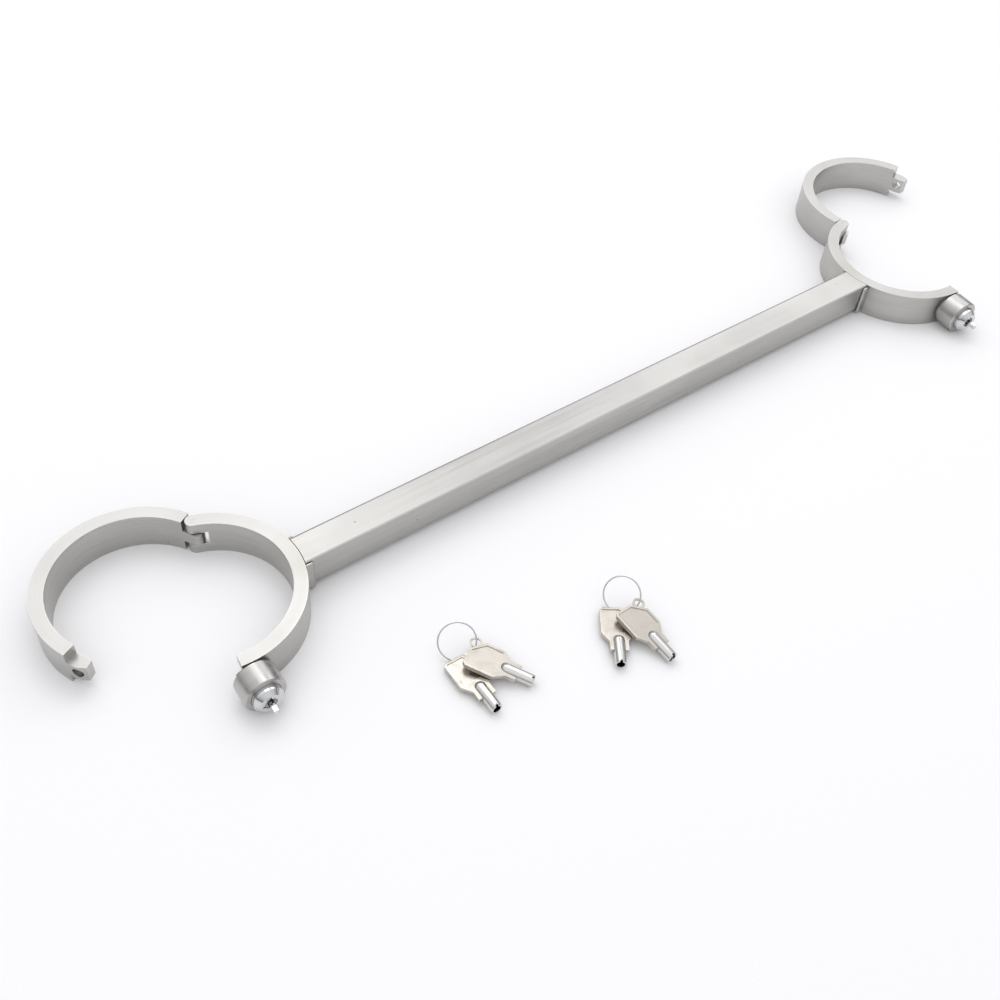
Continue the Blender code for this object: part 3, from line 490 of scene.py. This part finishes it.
def split_ring(name):
    """A flat-wire key ring of two turns, with the crank where the wire steps from turn to turn."""
    node = "ring_" + name
    points = np.array([vertex.co for vertex in NODES[node].data.vertices])
    centre = points.mean(axis=0)
    _, _, axes = np.linalg.svd(points - centre, full_matrices=False)
    level, rising, normal = (Vector(axis).normalized() for axis in axes)
    reach = np.linalg.norm(points - centre, axis=1)
    radius = (reach.max() + reach.min()) / 2
    wire = (reach.max() - reach.min()) / 2
    path = []
    across = []
    for index in range(RING_STEPS + 1):
        turn = RING_TURNS * index / RING_STEPS
        lap = turn - 1.0
        share = min(max((lap + RING_CRANK / 2) / RING_CRANK, 0.0), 1.0)
        share = share * share * (3 - 2 * share)
        angle = 2 * math.pi * turn
        outward = level * math.cos(angle) + rising * math.sin(angle)
        path.append(Vector(centre) + outward * radius + normal * (wire * (share - 0.5)))
        across.append(outward)
    points, faces = sweep(path, wire * RING_WIDE, wire * RING_THIN, across)
    material = polished("nickel_" + node, WIRE, 0.12, axis_grain(normal), painted_edge_highlight=0.5)
    ring = add_mesh("split_ring_" + name, points, faces, material)
    shade(ring, RING_SHARP_ANGLE)
    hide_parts(node)
    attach(ring, "keys_" + name)


def lock_spring(side):
    """The barrel's return spring, a copy of the CAD part with its own mesh, held in the frame."""
    node = side + "_lock_spring"
    spring = bpy.data.objects.new("return_spring_" + side, NODES[node].data.copy())
    bpy.context.scene.collection.objects.link(spring)
    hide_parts(node)
    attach(spring, "frame")
    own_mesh(spring)


# Setting

def floor():
    corners = [(-1, -1), (1, -1), (1, 1), (-1, 1)]
    points = [(x * FLOOR_REACH, y * FLOOR_REACH, -FLOOR_DROP) for x, y in corners]
    finish = Finish("floor", metallic=0.0)
    finish.shader.inputs["Specular IOR Level"].default_value = 0.2
    paper = finish.noise(finish.position, 900.0, 2.0)
    tone = finish.mix(finish.spread(paper, 0.3, 0.7), PAPER_DARK, PAPER_LIGHT)
    material = finish.surface(tone, 0.6)
    add_mesh("floor", points, [(0, 1, 2, 3)], material)


def world_light():
    """Pale all round, brighter overhead and darker near the horizon."""
    world = bpy.data.worlds.new("studio")
    world.use_nodes = True
    bpy.context.scene.world = world
    tree = world.node_tree
    background = tree.nodes["Background"]
    place = tree.nodes.new("ShaderNodeTexCoord")
    split = tree.nodes.new("ShaderNodeSeparateXYZ")
    ramp = tree.nodes.new("ShaderNodeValToRGB")
    stops = ramp.color_ramp.elements
    stops[0].position, stops[0].color = SKY_HORIZON
    stops[1].position, stops[1].color = SKY_TOP
    middle = stops.new(SKY_MIDDLE[0])
    middle.color = SKY_MIDDLE[1]
    tree.links.new(place.outputs["Generated"], split.inputs[0])
    tree.links.new(split.outputs["Z"], ramp.inputs[0])
    tree.links.new(ramp.outputs[0], background.inputs["Color"])
    background.inputs["Strength"].default_value = SKY_STRENGTH


def softbox(name, place, aim, size, power):
    lamp = bpy.data.lights.new(name, "AREA")
    lamp.shape = "SQUARE"
    lamp.size = size
    lamp.energy = power
    obj = bpy.data.objects.new(name, lamp)
    obj.location = place
    obj.rotation_euler = (Vector(aim) - Vector(place)).to_track_quat("-Z", "Y").to_euler()
    bpy.context.scene.collection.objects.link(obj)


def studio():
    world_light()
    for lamp in SOFTBOXES:
        softbox(*lamp)
    bpy.context.scene.view_settings.view_transform = "Standard"


def camera():
    place = lock_axis("left")[0] + Vector(CAMERA_FROM_CUFF)
    place.z = CAMERA_HEIGHT
    azimuth = math.radians(CAMERA_AZIMUTH)
    elevation = math.radians(CAMERA_ELEVATION)
    roll = math.radians(CAMERA_ROLL)
    right = Vector((math.cos(azimuth), math.sin(azimuth), 0.0))
    back = Vector((math.sin(azimuth) * math.cos(elevation), -math.cos(azimuth) * math.cos(elevation),
                   math.sin(elevation)))
    up = back.cross(right)
    rolled_right = right * math.cos(roll) + up * math.sin(roll)
    rolled_up = up * math.cos(roll) - right * math.sin(roll)
    data = bpy.data.cameras.new("camera")
    data.lens = CAMERA_LENS
    data.sensor_width = SENSOR_WIDTH
    data.clip_start = 0.01
    obj = bpy.data.objects.new("camera", data)
    turn = Matrix((rolled_right, rolled_up, back)).transposed()
    obj.matrix_world = Matrix.Translation(place) @ turn.to_4x4()
    bpy.context.scene.collection.objects.link(obj)
    bpy.context.scene.camera = obj


for cad_object in NODES.values():
    is_turned = "barrel" in cad_object.name or "plug" in cad_object.name
    shade(cad_object, TURNED_SHARP_ANGLE if is_turned else SHARP_ANGLE)
dress_frame()
dress_locks()
dress_keys()
for key_side in ("near", "far"):
    split_ring(key_side)
for cuff_side in SIDES:
    lock_spring(cuff_side)
floor()
studio()
camera()
